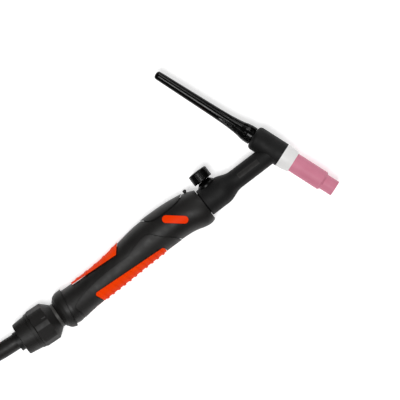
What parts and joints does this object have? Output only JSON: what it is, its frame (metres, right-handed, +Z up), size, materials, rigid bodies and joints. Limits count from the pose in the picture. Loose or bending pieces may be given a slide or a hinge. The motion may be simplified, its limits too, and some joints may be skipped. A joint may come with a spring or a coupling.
{
  "type": "tig torch",
  "caption": "Hand-held gas-shielded arc welding torch with an angled head, gas valve knob, ribbed handle, swivelling cable support and a coiled cable with a bayonet plug.",
  "frame": {"origin": "middle of the torch's box, on the surface that it lies on, without the cable and its plug", "axes": "+X along the cable support towards the head, +Y towards the valve knob and the back cap, +Z up, out of the torch's plane of symmetry"},
  "size_m": [0.4943, 0.2549, 0.0727],
  "materials": {
    "handle_plastic": "fine satin moulded texture",
    "panel_plastic": "satin, slightly lighter than the shells",
    "support_plastic": "satin",
    "grip_rubber": "matte orange",
    "badge_plastic": "glossy orange, blank",
    "head_rubber": "matte",
    "knob_plastic": "glossy",
    "cap_plastic": "very glossy",
    "gasket_plastic": "smooth, slightly waxy white",
    "nozzle_ceramic": "unglazed pink alumina",
    "brass": "machined",
    "copper": "drawn copper",
    "tungsten": "ground",
    "steel": "zinc plated",
    "cable_rubber": "smooth matte",
    "seal_rubber": "smooth",
    "strap_fabric": "woven hook-and-loop strap"
  },
  "bodies": {
    "hose": {"cable_grommet": "seal_rubber", "clamp_nut": "support_plastic", "knuckle_ring": "support_plastic", "knuckle_body": "support_plastic", "swivel_sleeve": "support_plastic", "swivel_washer": "support_plastic", "cable_ferrule": "copper", "core_hose": "cable_rubber", "cable_lead": "cable_rubber", "cable_tail": "cable_rubber", "cable_coil": "cable_rubber", "coil_tie": "strap_fabric", "plug_sleeve": "seal_rubber", "plug_pin": "brass", "gas_nipple": "brass"},
    "swivel": {"swivel_cup": "support_plastic"},
    "handle": {"near_shell": "handle_plastic", "far_shell": "handle_plastic", "lower_panel": "panel_plastic", "upper_grip": "grip_rubber", "lower_grip": "grip_rubber", "blank_cover": "handle_plastic", "cover_catch": "handle_plastic", "badge": "badge_plastic", "shell_screws": "steel", "head_insulation": "head_rubber", "head_core": "brass", "neck_tube": "copper", "valve_block": "brass", "valve_gland": "knob_plastic", "inner_hose": "cable_rubber", "hose_ferrule": "copper", "hose_connector": "brass", "cup_gasket": "gasket_plastic", "collet_body": "copper", "collet": "copper"},
    "valve_lift": {"stem_seal": "seal_rubber"},
    "valve": {"valve_stem": "brass", "valve_knob": "knob_plastic"},
    "cap_lift": {"cap_seal": "seal_rubber"},
    "cap": {"back_cap": "cap_plastic"},
    "cup": {"nozzle": "nozzle_ceramic"},
    "electrode": {"electrode": "tungsten"}
  },
  "joints": [
    {"name": "handle_spin", "type": "hinge", "parent": "hose", "child": "swivel", "pos_m": [-0.09952, -0.04056, 0.0179], "axis": [1, 0, 0], "range_deg": [-180, 180]},
    {"name": "handle_tilt", "type": "hinge", "parent": "swivel", "child": "handle", "pos_m": [-0.09952, -0.04056, 0.0179], "axis": [0, 0, 1], "range_deg": [-12, 10]},
    {"name": "valve_rise", "type": "slide", "parent": "handle", "child": "valve_lift", "axis": [-0.0593, 0.9982, 0], "range_m": [0, 0.00113]},
    {"name": "valve_turn", "type": "hinge", "parent": "valve_lift", "child": "valve", "pos_m": [0.0593, -0.03057, 0.0179], "axis": [-0.0593, 0.9982, 0], "range_deg": [0, 540]},
    {"name": "cap_rise", "type": "slide", "parent": "handle", "child": "cap_lift", "axis": [-0.3971, 0.9178, 0], "range_m": [0, 0.003]},
    {"name": "cap_turn", "type": "hinge", "parent": "cap_lift", "child": "cap", "pos_m": [0.11714, -0.0083, 0.0179], "axis": [-0.3971, 0.9178, 0], "range_deg": [0, 1080]},
    {"name": "nozzle_turn", "type": "hinge", "parent": "handle", "child": "cup", "pos_m": [0.13699, -0.05419, 0.0179], "axis": [0.3971, -0.9178, 0], "range_deg": [0, 360]},
    {"name": "electrode_slide", "type": "slide", "parent": "handle", "child": "electrode", "axis": [0.3971, -0.9178, 0], "range_m": [-0.004, 0.012]}
  ],
  "couplings": [
    {"joint": "valve_rise", "follows": "valve_turn", "m_per_rad": 0.00011937},
    {"joint": "cap_rise", "follows": "cap_turn", "m_per_rad": 0.00015915}
  ]
}
